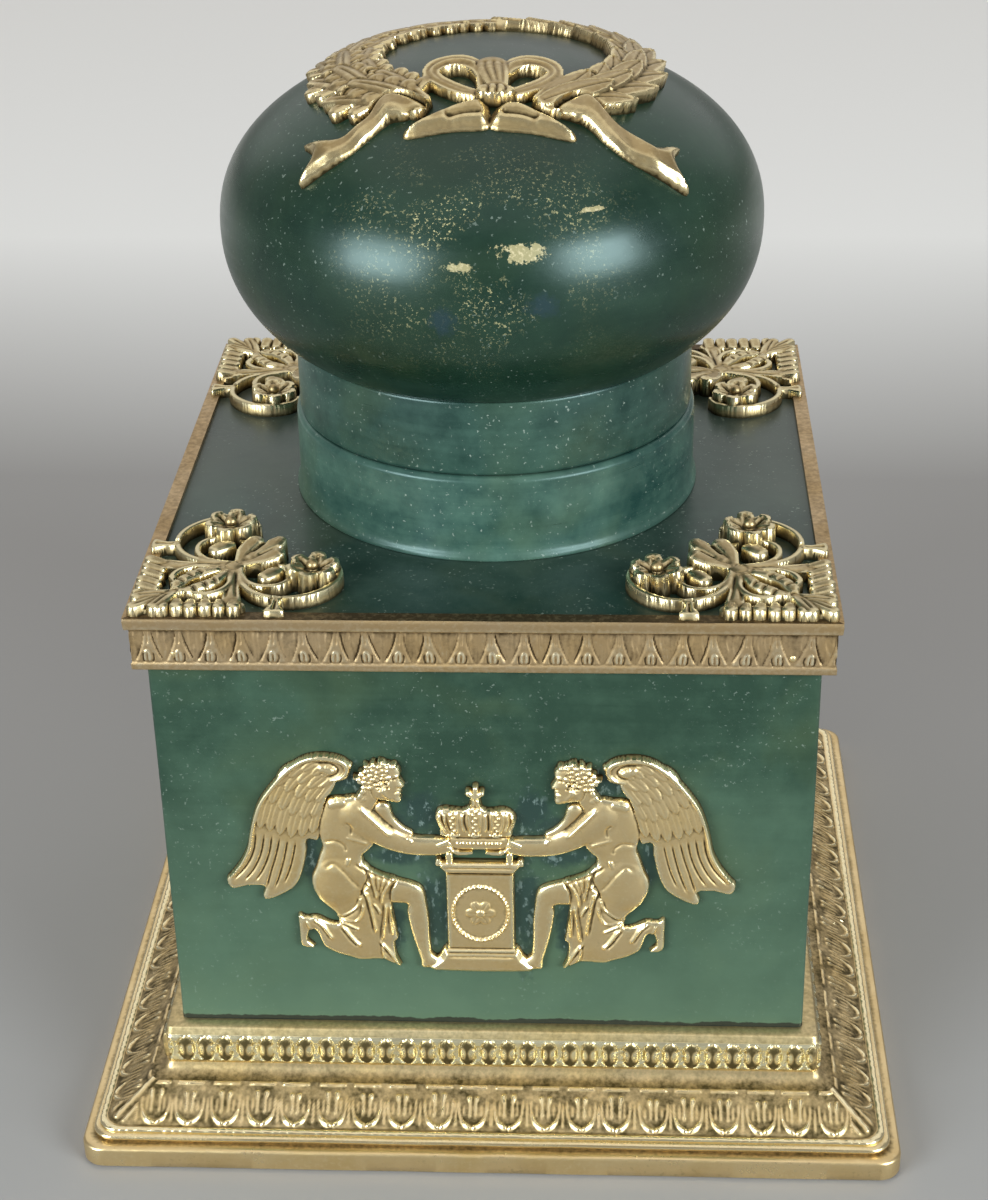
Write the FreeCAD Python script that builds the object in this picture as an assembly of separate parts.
"""Square Empire-style inkwell with a hinged bulb lid and a lift-out porcelain pot.

Millimetres, +Z up. The origin is the centre of the felt pad's underside, and the front faces -Y.
"""
import FreeCAD, Part
import math
import os

V = FreeCAD.Vector
X_AXIS = V(1, 0, 0)
Y_AXIS = V(0, 1, 0)
Z_AXIS = V(0, 0, 1)
ORIGIN = V(0, 0, 0)

# ---- driving dimensions -------------------------------------------------------------------
plinth_half = 54.6          # half the width of the plinth's plain edge
plinth_floor_gap = 0.3      # the shell stays this far above the table
plinth_edge_top = 3.5
plinth_top = 14.5           # ledge round the foot of the case
plinth_opening_floor = 7.8  # underside of the plinth's thick top rim
plinth_corner = 3.0         # plan radius of the plinth's outer corners

felt_half = 50.0
felt_thickness = 1.6
core_top = 9.0

case_half = 41.75
case_wall = 1.5
case_top = 76.0
case_flange_half = 32.0     # half the square opening inside the top flange
block_side = 10.0
block_height = 8.0

plate_half = 42.3
plate_top = 77.8
plate_opening_radius = 24.0

frieze_bottom = 70.8
frieze_top = 77.8
frieze_half = 44.0
frieze_lip = 1.4            # thickness of the lip that stands beside the top plate

collar_radius = 26.8
collar_bore = 25.0
collar_lower_bore = 23.9
collar_ledge = 85.2
joint_height = 89.4         # plane where the lid meets the collar
joint_gap = 0.05            # each ring stops this far from that plane

lid_radius = 26.3
lid_bore = 24.7
lid_neck_top = 99.5
spigot_bore = 23.6
spigot_bottom = 88.35
spigot_top = 96.0

bulb_centre = 115.1
bulb_radius = 35.2
bulb_rise = 21.0            # from the widest place up to the crown
bulb_drop = 22.1            # depth of the whole lower half, before the neck cuts it
bulb_power = 2.19           # superellipse exponent of the profile
bulb_wall = 1.1

holder_bore = 20.0
holder_radius = 21.0
holder_flange_radius = 24.9
holder_bottom = 53.4
holder_wall = 1.0

pot_radius = 19.4
pot_flange_radius = 21.5    # passes the locating ring with room to spare
pot_bottom = 56.0
pot_top = 87.9
pot_bore = 16.8
pot_mouth = 15.0

hinge_y = 29.2
hinge_knuckle = 1.9
hinge_pin_radius = 0.85
hinge_running_gap = 0.05
hinge_half_width = 7.0
hinge_lid_half = 2.1
hinge_side_gap = 0.3
leaf_thickness = 1.2

wreath_inner = 14.3
wreath_outer = 23.3
wreath_height = 2.6
ribbon_height = 1.3
applique_centre = -0.9      # the relief sits a little left of the middle
applique_thickness = 1.6
mount_height = 2.4
rosette_height = 3.8

saved_names = []


# ---- helpers ------------------------------------------------------------------------------
def save(name, *solids):
    """Writes one node's solids to its STEP file."""
    shape = solids[0] if len(solids) == 1 else Part.makeCompound(list(solids))
    shape.exportStep("parts/%s.step" % name)
    saved_names.append(name)
    print("%-26s solids %3d  valid %s  volume %9.1f" % (name, len(shape.Solids), shape.isValid(), shape.Volume))


def box(x0, x1, y0, y1, z0, z1):
    return Part.makeBox(x1 - x0, y1 - y0, z1 - z0, V(x0, y0, z0))


def square(half, z0, z1):
    return box(-half, half, -half, half, z0, z1)


def rod(radius, start, axis, length):
    return Part.makeCylinder(radius, length, start, axis)


def tube(outer, inner, z0, z1):
    solid = rod(outer, V(0, 0, z0), Z_AXIS, z1 - z0)
    return solid.cut(rod(inner, V(0, 0, z0), Z_AXIS, z1 - z0))


def fuse(solids):
    first = solids[0]
    return first.multiFuse(solids[1:]).removeSplitter() if len(solids) > 1 else first


def prism(points, axis, start, length):
    """Extrudes a closed outline along Z (points are x, y) or along -Y (points are x, z)."""
    if axis == "z":
        corners = [V(a, b, start) for a, b in points]
        direction = V(0, 0, length)
    else:
        corners = [V(a, start, b) for a, b in points]
        direction = V(0, -length, 0)
    return Part.Face(Part.makePolygon(corners + corners[:1])).extrude(direction)


def revolve(points):
    """Turns a closed outline of (radius, z) points about the Z axis."""
    corners = [V(r, 0, z) for r, z in points]
    return Part.Face(Part.makePolygon(corners + corners[:1])).revolve(ORIGIN, Z_AXIS, 360)


def rounded_square(half, radius, z):
    """Wire of a square with rounded corners, the same edge order at every size."""
    edges = []
    flat = half - radius
    bulge = radius * math.sqrt(0.5)
    for quarter in range(4):
        turn = FreeCAD.Rotation(Z_AXIS, 90 * quarter)
        side_start = turn.multVec(V(half, -flat, z))
        side_end = turn.multVec(V(half, flat, z))
        corner_middle = turn.multVec(V(flat + bulge, flat + bulge, z))
        corner_end = turn.multVec(V(flat, half, z))
        edges.append(Part.LineSegment(side_start, side_end).toShape())
        edges.append(Part.Arc(side_end, corner_middle, corner_end).toShape())
    return Part.Wire(edges)


def stepped_square(sections):
    """Solid through rounded squares given as (half width, z, corner radius), lowest first."""
    wires = [rounded_square(half, radius, z) for half, z, radius in sections]
    return Part.makeLoft(wires, True, True)


def quarter_turns(solid):
    """The solid as it lies on the front, right, back and left sides."""
    copies = []
    for quarter in range(4):
        copy = solid.copy()
        copy.rotate(ORIGIN, Z_AXIS, 90 * quarter)
        copies.append(copy)
    return copies


def mirrored(solid, flip_x, flip_y):
    copy = solid
    if flip_x:
        copy = copy.mirror(ORIGIN, X_AXIS)
    if flip_y:
        copy = copy.mirror(ORIGIN, Y_AXIS)
    return copy


# ---- plinth -------------------------------------------------------------------------------
def plinth_shell():
    outer = stepped_square([
        (plinth_half, plinth_floor_gap, plinth_corner),
        (plinth_half, plinth_edge_top, plinth_corner),
        (53.4, 4.0, 2.9),
        (52.2, 4.9, 2.8),
        (51.9, 5.4, 2.7),
        (50.6, 5.6, 2.6),
        (46.1, 8.3, 1.6),
        (45.2, 8.5, 1.5),
        (44.4, 9.0, 1.4),
        (44.2, 9.9, 1.4),
        (45.1, 10.7, 1.4),
        (45.1, 13.4, 1.4),
        (43.8, 14.2, 1.2),
        (43.5, plinth_top, 1.2),
    ])
    hollow = stepped_square([
        (53.2, plinth_floor_gap - 0.2, 2.0),
        (53.2, 2.8, 2.0),
        (50.8, 3.4, 2.0),
        (44.6, 7.4, 1.4),
        (43.4, plinth_opening_floor, 1.2),
    ])
    opening = square(case_half + 0.05, plinth_opening_floor - 0.5, plinth_top + 0.5)
    return outer.cut(hollow).cut(opening)


def plinth_core(screw_holes):
    steps = [
        square(50.2, felt_thickness, 3.3),
        square(43.2, 3.3, plinth_opening_floor),
        square(case_half - 0.05, plinth_opening_floor, core_top),
    ]
    return fuse(steps).cut(Part.makeCompound(screw_holes))


block_centre = case_half - case_wall - block_side / 2
screw_places = [(sx * block_centre, sy * block_centre) for sx in (-1, 1) for sy in (-1, 1)]
screw_head_top = 3.6
screw_head_radius = 2.8
screw_radius = 1.5
screw_length = 11.0


def base_screw(x, y):
    head = Part.makeCone(screw_head_radius, screw_radius, 1.6, V(x, y, screw_head_top - 1.6), Z_AXIS)
    shank = rod(screw_radius, V(x, y, screw_head_top), Z_AXIS, screw_length)
    slot = box(x - 3, x + 3, y - 0.4, y + 0.4, screw_head_top - 1.6, screw_head_top - 1.0)
    return fuse([head, shank]).cut(slot)


def base_screw_hole(x, y):
    recess = rod(screw_head_radius + 0.2, V(x, y, felt_thickness), Z_AXIS, screw_head_top - felt_thickness)
    return recess.fuse(rod(screw_radius + 0.2, V(x, y, screw_head_top), Z_AXIS, core_top))


# ---- case, top plate and frieze -----------------------------------------------------------
frieze_pin_radius = 0.6
frieze_pin_height = 73.1
frieze_pin_places = (-38.0, 2.0, 38.0)     # on pearls of the chased pattern
frieze_field = 43.0         # depth of the strips' sunk field


def frieze_pin(x):
    shank = rod(frieze_pin_radius, V(x, -frieze_field, frieze_pin_height), Y_AXIS, 4.0)
    head = rod(frieze_pin_radius * 1.6, V(x, -frieze_field - 0.6, frieze_pin_height), Y_AXIS, 0.6)
    return fuse([shank, head])


def frieze_strip():
    """The front strip, cut to 45 degrees at both ends."""
    profile = [
        (case_half, frieze_bottom),
        (43.5, frieze_bottom),
        (43.5, 71.9),
        (frieze_field, 72.1),
        (frieze_field, 76.0),
        (frieze_half, 76.3),
        (frieze_half, frieze_top),
        (frieze_half - frieze_lip, frieze_top),
        (frieze_half - frieze_lip, case_top),
        (case_half, case_top),
    ]
    corners = [V(-frieze_half, -w, z) for w, z in profile]
    strip = Part.Face(Part.makePolygon(corners + corners[:1])).extrude(V(2 * frieze_half, 0, 0))
    reach = 2 * frieze_half
    mitre = prism([(0, 0), (-reach, -reach), (reach, -reach)], "z", frieze_bottom - 1, 10)
    return strip.common(mitre)


def case_shell():
    walls = square(case_half, core_top, case_top)
    inside = square(case_half - case_wall, core_top, case_top - case_wall)
    mouth = square(case_flange_half, case_top - case_wall, case_top)
    return walls.cut(inside).cut(mouth)


def top_plate():
    plate = square(plate_half, case_top, plate_top)
    return plate.cut(rod(plate_opening_radius, V(0, 0, case_top), Z_AXIS, plate_top - case_top))


# ---- corner mounts ------------------------------------------------------------------------
mount_corner = 43.9         # the mounts' own outer corner, on both axes
rosette_centre = (21.8, 10.4)   # distances in from that corner along each side
rosette_radius = 3.4
shell_pin = 3.2
pin_radius = 0.7
pin_bottom = case_top - case_wall


def ellipse_ring(a, b, major, minor, band, height):
    """Upright ring on an ellipse whose longer radius lies along the first axis."""
    outer = Part.Ellipse(V(a, b, 0), major, minor).toShape()
    inner = Part.Ellipse(V(a, b, 0), major - band, minor - band).toShape()
    solid = Part.Face(Part.Wire(outer)).extrude(V(0, 0, height))
    return solid.cut(Part.Face(Part.Wire(inner)).extrude(V(0, 0, height)))


def half_mount():
    """The pieces of a corner mount on one side of its diagonal, from its outer corner."""
    rosette = rod(rosette_radius, V(*rosette_centre, 0), Z_AXIS, rosette_height)
    side_scroll = ellipse_ring(17.6, 7.6, 6.2, 4.6, 1.5, mount_height)
    foot = box(16.4, 19.0, 0.6, 4.0, 0, mount_height * 0.8)
    edge_leaves = prism([(3, 0.4), (12.6, 0.6), (13.4, 3.2), (4, 3.4)], "z", 0, mount_height)
    return [rosette, side_scroll, foot, edge_leaves]


def corner_mount():
    """Pierced scroll mount in its own frame: the outer corner at the origin, arms along +X and +Y."""
    side = half_mount()
    other_side = []
    for piece in half_mount():
        other_side.append(piece.mirror(ORIGIN, V(1, -1, 0)))
    shell = rod(6.8, V(0.6, 0.6, 0), Z_AXIS, mount_height * 1.2).common(box(0.4, 9, 0.4, 9, 0, 9))
    corner_scroll = ellipse_ring(8.0, 8.0, 4.6, 4.6, 1.5, mount_height)
    stem = prism([(10.2, 12.0), (12.0, 10.2), (16.8, 13.4), (16.8, 16.8), (13.4, 16.8)], "z", 0, mount_height)
    lily = Part.makeCone(2.6, 1.6, rosette_height, V(15.6, 15.6, 0), Z_AXIS)
    solid = fuse(side + other_side + [shell, corner_scroll, stem, lily])
    for a, b in mount_pin_places():
        solid = solid.cut(rod(pin_radius, V(a, b, -1), Z_AXIS, 9))
    return solid


def mount_pin_places():
    a, b = rosette_centre
    return [(a, b), (b, a), (shell_pin, shell_pin)]


def mount_pin(a, b, top):
    shank = rod(pin_radius, V(a, b, pin_bottom - plate_top), Z_AXIS, top + plate_top - pin_bottom)
    return fuse([shank, rod(1.2, V(a, b, top), Z_AXIS, 0.7)])


def place_in_corner(solid, flip_x, flip_y):
    """Moves a solid from the mount's own frame to the front-left corner, then mirrors it."""
    copy = solid.copy()
    copy.translate(V(-mount_corner, -mount_corner, plate_top))
    return mirrored(copy, flip_x, flip_y)


# ---- front relief -------------------------------------------------------------------------
wing_outline = [
    (16.0, 54.6), (15.9, 56.6), (17.4, 58.0), (20.4, 58.3), (23.6, 57.0), (26.2, 54.2), (28.4, 50.2),
    (29.4, 45.6), (31.0, 41.0), (33.2, 38.2), (31.4, 37.6), (28.0, 38.0), (28.2, 35.8), (25.6, 36.8),
    (23.4, 39.8), (21.8, 43.6), (19.6, 45.2), (18.6, 50.0), (18.2, 52.6), (17.6, 54.0),
]
figure_outline = [
    (18.6, 51.8), (15.6, 52.2), (15.2, 55.2), (14.2, 57.2), (12.2, 57.9), (10.4, 57.0), (9.8, 55.0),
    (9.7, 52.6), (10.4, 51.2), (12.2, 50.4), (11.8, 48.6), (9.6, 46.5), (7.0, 45.9), (4.4, 46.0),
    (3.6, 44.6), (5.4, 43.2), (8.4, 43.1), (12.0, 43.9), (14.4, 44.6), (14.9, 42.8), (13.6, 41.0),
    (10.8, 39.9), (8.2, 38.9), (7.0, 37.4), (6.7, 33.0), (7.0, 28.6), (5.0, 26.2), (5.0, 25.2),
    (8.0, 25.2), (8.5, 28.0), (9.7, 33.0), (9.9, 35.5), (11.6, 35.6), (11.2, 31.0), (11.8, 27.0),
    (10.8, 25.2), (13.0, 26.2), (16.2, 26.4), (19.4, 27.6), (21.4, 30.4), (21.2, 28.4), (22.6, 28.2),
    (23.9, 31.2), (23.8, 33.2), (21.6, 33.4), (19.0, 32.8), (20.4, 35.0), (21.6, 37.8), (21.8, 40.2),
    (20.8, 43.0), (20.6, 47.6), (19.4, 50.6),
]
altar_outline = [(4.8, 24.7), (6.4, 26.6), (4.8, 28.6), (4.6, 40.2), (5.4, 42.3)]
crown_outline = [(4.2, 43.9), (5.2, 48.8), (4.2, 50.4), (0.9, 50.5), (0.9, 53.6)]
applique_studs = [(0.0, 30.0), (17.0, 47.0), (-17.0, 47.0)]
stud_radius = 1.0
stud_length = 4.2
nut_radius = 2.2
nut_thickness = 1.6


def relief_plate(outline, thickness):
    shifted = [(applique_centre + u, z) for u, z in outline]
    return prism(shifted, "-y", -case_half, thickness)


def mirror_points(points):
    return [(-u, z) for u, z in reversed(points)]


def symmetric_plate(half_outline, thickness):
    return relief_plate(half_outline + mirror_points(half_outline), thickness)


def front_applique():
    plates = [symmetric_plate(altar_outline, applique_thickness * 1.2)]
    plates.append(symmetric_plate(crown_outline, applique_thickness * 1.2))
    for outline in (wing_outline, figure_outline):
        plates.append(relief_plate(outline, applique_thickness))
        plates.append(relief_plate(mirror_points(outline), applique_thickness))
    for u, z in applique_studs:
        plates.append(rod(stud_radius, V(applique_centre + u, -case_half - 0.5, z), Y_AXIS, stud_length + 0.5))
    return fuse(plates)


def hexagon_nut(centre, axis, hole_radius):
    """Hexagon nut with its seat at centre, standing along axis."""
    ring = [V(nut_radius * math.cos(math.radians(a)), nut_radius * math.sin(math.radians(a)), 0)
            for a in range(0, 360, 60)]
    nut = Part.Face(Part.makePolygon(ring + ring[:1])).extrude(V(0, 0, nut_thickness))
    nut = nut.cut(rod(hole_radius, ORIGIN, Z_AXIS, nut_thickness))
    nut.Placement = FreeCAD.Placement(centre, FreeCAD.Rotation(Z_AXIS, axis))
    return nut


# ---- neck, holder and pot -----------------------------------------------------------------
def collar():
    lower_edge = joint_height - joint_gap
    return revolve([
        (collar_lower_bore, plate_top),
        (collar_radius + 0.5, plate_top),
        (collar_radius + 0.3, plate_top + 0.6),
        (collar_radius, plate_top + 1.2),
        (collar_radius, lower_edge - 0.5),
        (collar_radius - 0.5, lower_edge),
        (collar_bore, lower_edge),
        (collar_bore, collar_ledge),
        (collar_lower_bore, collar_ledge),
    ])


def pot_holder():
    flange_top = collar_ledge + holder_wall
    return revolve([
        (0, holder_bottom),
        (holder_radius, holder_bottom),
        (holder_radius, collar_ledge),
        (holder_flange_radius, collar_ledge),
        (holder_flange_radius, flange_top),
        (holder_bore, flange_top),
        (holder_bore, holder_bottom + holder_wall),
        (0, holder_bottom + holder_wall),
    ])


def ink_pot():
    seat = collar_ledge + holder_wall
    return revolve([
        (0, pot_bottom),
        (pot_radius - 2, pot_bottom),
        (pot_radius, pot_bottom + 2),
        (pot_radius, seat),
        (pot_flange_radius, seat),
        (pot_flange_radius, pot_top - 0.6),
        (pot_flange_radius - 0.6, pot_top),
        (pot_mouth + 0.7, pot_top),
        (pot_mouth, pot_top - 0.7),
        (pot_mouth, pot_top - 4),
        (pot_bore, pot_top - 6),
        (pot_bore, pot_bottom + 4),
        (pot_bore - 1.6, pot_bottom + 2.6),
        (0, pot_bottom + 2.6),
    ])


# ---- lid ----------------------------------------------------------------------------------
def bulb(grow, floor):
    """Solid of revolution on the bulb's profile, grown outwards, down to the floor plane."""
    radius = bulb_radius + grow
    rise = bulb_rise + grow
    drop = bulb_drop + grow
    power = 2 / bulb_power

    def arc_point(angle, height):
        return V(radius * math.cos(angle) ** power, 0, bulb_centre + height * math.sin(angle) ** power)

    depth = (bulb_centre - floor) / drop
    floor_angle = math.asin(depth ** (1 / power))
    lower = [arc_point(floor_angle * (1 - i / 6), -drop) for i in range(6)]
    equator = V(radius, 0, bulb_centre)
    upper = [arc_point(math.pi / 2 * i / 9, rise) for i in range(1, 9)]
    crown = V(0, 0, bulb_centre + rise)
    profile = Part.BSplineCurve()
    profile.interpolate(Points=lower + [equator] + upper + [crown])
    start = profile.value(profile.FirstParameter)
    foot = V(0, 0, floor)
    edges = [
        profile.toShape(),
        Part.LineSegment(crown, foot).toShape(),
        Part.LineSegment(foot, start).toShape(),
    ]
    return Part.Face(Part.Wire(edges)).revolve(ORIGIN, Z_AXIS, 360)


def bulb_surface(r):
    """Height of the bulb's outer skin at distance r from the axis."""
    return bulb_centre + bulb_rise * (1 - (r / bulb_radius) ** bulb_power) ** (1 / bulb_power)


ribbon_left = [(-8.0, -16.6), (-11.4, -14.6), (-15.0, -18.4), (-18.0, -19.2), (-21.4, -17.8), (-19.8, -20.2),
               (-21.8, -22.6), (-16.4, -22.4), (-12.4, -20.6), (-9.6, -18.2)]
ribbon_right = [(9.6, -17.2), (12.0, -14.6), (16.0, -17.0), (20.0, -18.6), (23.6, -16.6), (22.4, -19.4),
                (24.6, -21.4), (17.4, -22.2), (13.6, -20.6), (11.0, -18.4)]
bottom_leaves = [(-8.8, -21.8), (-4.0, -18.6), (-3.0, -14.6), (5.0, -14.6), (6.0, -18.6), (11.0, -21.8), (1.0, -22.2)]
wreath_stud_radius = 18.5
wreath_stud_angles = (-90, 30, 150)


def wreath_mount(dome):
    """Two branches that meet at the back, a bow at the front and ribbon ends, lying on the bulb."""
    sheet = bulb(wreath_height, 112).cut(dome)
    ring = sheet.common(tube(wreath_outer, wreath_inner, 112, 145))
    gap = prism([(0, 10), (-2.2, 30), (2.2, 30)], "z", 112, 34)
    ring = ring.cut(gap)
    ribbon_sheet = bulb(ribbon_height, 112).cut(dome)
    flats = []
    for outline in (ribbon_left, ribbon_right, bottom_leaves):
        flats.append(ribbon_sheet.common(prism(outline, "z", 112, 30)))
    knot_height = bulb_surface(15.5)
    knot = Part.makeSphere(2.6, V(1, -15.5, knot_height + 0.6))
    loops = []
    for side in (-1, 1):
        loop = Part.makeTorus(3.0, 0.9, V(1 + side * 4.2, -12.6, bulb_surface(13) + 1.6), V(side * 0.35, -0.7, 0.6))
        loops.append(loop)
    solid = fuse([ring] + flats + [knot] + loops).cut(dome)
    studs = [rod(stud_radius, V(x, y, z - stud_length), Z_AXIS, stud_length + 1.2) for x, y, z in wreath_stud_places()]
    return fuse([solid] + studs)


def wreath_stud_places():
    places = []
    for angle in wreath_stud_angles:
        x = wreath_stud_radius * math.cos(math.radians(angle))
        y = wreath_stud_radius * math.sin(math.radians(angle))
        places.append((x, y, bulb_surface(wreath_stud_radius)))
    return places


# ---- hinge --------------------------------------------------------------------------------
leaf_half_width = 6.8
hinge_screw_x = 4.4
hinge_screw_radius = 0.8
hinge_screw_head = 1.5


def hinge_leaf(ring_radius, z0, z1):
    """Curved leaf on the back of a neck ring."""
    leaf = tube(ring_radius + leaf_thickness, ring_radius, z0, z1)
    return leaf.common(box(-leaf_half_width, leaf_half_width, 10, 40, z0, z1))


def knuckle(x0, x1, bore):
    """One hinge barrel with a web that reaches its leaf."""
    barrel = rod(hinge_knuckle, V(x0, hinge_y, joint_height), X_AXIS, x1 - x0)
    return barrel, rod(bore, V(x0 - 1, hinge_y, joint_height), X_AXIS, x1 - x0 + 2)


def swing_room(x0, x1):
    return rod(hinge_knuckle + hinge_side_gap, V(x0, hinge_y, joint_height), X_AXIS, x1 - x0)


def hinge_body_leaf():
    leaf = hinge_leaf(collar_radius, 79.4, joint_height - 0.3)
    gap = hinge_lid_half + hinge_side_gap
    leaf = leaf.cut(swing_room(-gap, gap))
    for x0, x1 in ((-hinge_half_width, -gap), (gap, hinge_half_width)):
        barrel, bore = knuckle(x0, x1, hinge_pin_radius)
        web = box(x0, x1, collar_radius + 0.4, hinge_y, joint_height - hinge_knuckle, joint_height - 0.3)
        leaf = fuse([leaf, barrel, web]).cut(bore)
    return leaf.cut(rod(collar_radius, V(0, 0, 75), Z_AXIS, joint_height - 75 + 5))


def hinge_lid_leaf():
    leaf = hinge_leaf(lid_radius, joint_height + 0.3, lid_neck_top - 0.6)
    reach = hinge_half_width + 1
    leaf = leaf.cut(swing_room(-reach, reach))
    barrel, bore = knuckle(-hinge_lid_half, hinge_lid_half, hinge_pin_radius + hinge_running_gap)
    web = box(-hinge_lid_half, hinge_lid_half, lid_radius - 0.2, hinge_y, joint_height + 0.3,
              joint_height + hinge_knuckle + 1.0)
    leaf = fuse([leaf, barrel, web]).cut(bore)
    return leaf.cut(rod(lid_radius, V(0, 0, joint_height - 5), Z_AXIS, 30))


def hinge_pin():
    length = 2 * hinge_half_width
    pin = rod(hinge_pin_radius, V(-hinge_half_width, hinge_y, joint_height), X_AXIS, length)
    heads = [
        rod(hinge_pin_radius + 0.4, V(-hinge_half_width - 0.6, hinge_y, joint_height), X_AXIS, 0.6),
        rod(hinge_pin_radius + 0.4, V(hinge_half_width, hinge_y, joint_height), X_AXIS, 0.6),
    ]
    return fuse([pin] + heads)


def hinge_screw(x, z, ring_radius):
    """Screw along -Y through a leaf into its ring."""
    seat = math.sqrt((ring_radius + leaf_thickness) ** 2 - x * x)
    shank = rod(hinge_screw_radius, V(x, seat - 3.2, z), Y_AXIS, 3.2)
    head = rod(hinge_screw_head, V(x, seat - 0.2, z), Y_AXIS, 0.7)
    slot = box(x - 2, x + 2, seat + 0.25, seat + 0.6, z - 0.2, z + 0.2)
    return fuse([shank, head]).cut(slot)


# ---- build --------------------------------------------------------------------------------
os.makedirs("parts", exist_ok=True)

screws = [base_screw(x, y) for x, y in screw_places]
screw_holes = [base_screw_hole(x, y) for x, y in screw_places]
save("base_felt", square(felt_half, 0, felt_thickness))
save("plinth_core", plinth_core(screw_holes))
save("plinth_shell", plinth_shell())
save("base_screws", *screws)

frieze_pins = []
for pin_x in frieze_pin_places:
    frieze_pins.extend(quarter_turns(frieze_pin(pin_x)))
all_frieze_pins = Part.makeCompound(frieze_pins)

mount_pins = []
for pin_a, pin_b in mount_pin_places():
    pin_top = mount_height * 1.2 if pin_a == pin_b else rosette_height
    for flip_x in (False, True):
        for flip_y in (False, True):
            mount_pins.append(place_in_corner(mount_pin(pin_a, pin_b, pin_top), flip_x, flip_y))
all_mount_pins = Part.makeCompound(mount_pins)

applique = front_applique()
save("case_shell", case_shell().cut(all_frieze_pins).cut(all_mount_pins).cut(applique))
blocks = []
for block_x, block_y in screw_places:
    reach = block_side / 2
    block = box(block_x - reach, block_x + reach, block_y - reach, block_y + reach, core_top, core_top + block_height)
    blocks.append(block.cut(Part.makeCompound(screws)))
save("case_corner_blocks", *blocks)
save("top_plate", top_plate().cut(all_mount_pins))

strip_names = ("frieze_front", "frieze_right", "frieze_back", "frieze_left")
for strip_name, strip in zip(strip_names, quarter_turns(frieze_strip())):
    save(strip_name, strip.cut(all_frieze_pins))
save("frieze_pins", *frieze_pins)

mount = corner_mount()
mount_corners = {
    "corner_mount_front_left": (False, False),
    "corner_mount_front_right": (True, False),
    "corner_mount_back_left": (False, True),
    "corner_mount_back_right": (True, True),
}
for mount_name, (flip_x, flip_y) in mount_corners.items():
    save(mount_name, place_in_corner(mount, flip_x, flip_y))
save("corner_mount_pins", *mount_pins)

save("front_applique", applique)
nut_seat = -case_half + case_wall
applique_nuts = []
for stud_u, stud_z in applique_studs:
    applique_nuts.append(hexagon_nut(V(applique_centre + stud_u, nut_seat, stud_z), Y_AXIS, stud_radius))
save("applique_nuts", *applique_nuts)

collar_screws = [hinge_screw(side * hinge_screw_x, 82.6, collar_radius) for side in (-1, 1)]
lid_screws = [hinge_screw(side * hinge_screw_x, 96.4, lid_radius) for side in (-1, 1)]
all_collar_screws = Part.makeCompound(collar_screws)
all_lid_screws = Part.makeCompound(lid_screws)
save("collar", collar().cut(all_collar_screws))
save("pot_holder", pot_holder())
save("hinge_body_leaf", hinge_body_leaf().cut(all_collar_screws))
save("hinge_pin", hinge_pin())
save("hinge_body_screws", *collar_screws)

dome_outside = bulb(0, lid_neck_top)
wreath = wreath_mount(dome_outside)
dome = dome_outside.cut(bulb(-bulb_wall, lid_neck_top - 0.5)).cut(wreath)
save("lid_neck", tube(lid_radius, lid_bore, joint_height + joint_gap, lid_neck_top).cut(all_lid_screws))
save("lid_spigot", tube(lid_bore, spigot_bore, spigot_bottom, spigot_top).cut(all_lid_screws))
save("lid_dome", dome)
save("wreath_mount", wreath)
wreath_nuts = []
for nut_x, nut_y, nut_z in wreath_stud_places():
    wreath_nuts.append(hexagon_nut(V(nut_x, nut_y, nut_z - stud_length + nut_thickness), V(0, 0, -1), stud_radius))
save("wreath_nuts", *wreath_nuts)
save("hinge_lid_leaf", hinge_lid_leaf().cut(all_lid_screws))
save("hinge_lid_screws", *lid_screws)

save("ink_pot", ink_pot())
print(len(saved_names), "nodes")
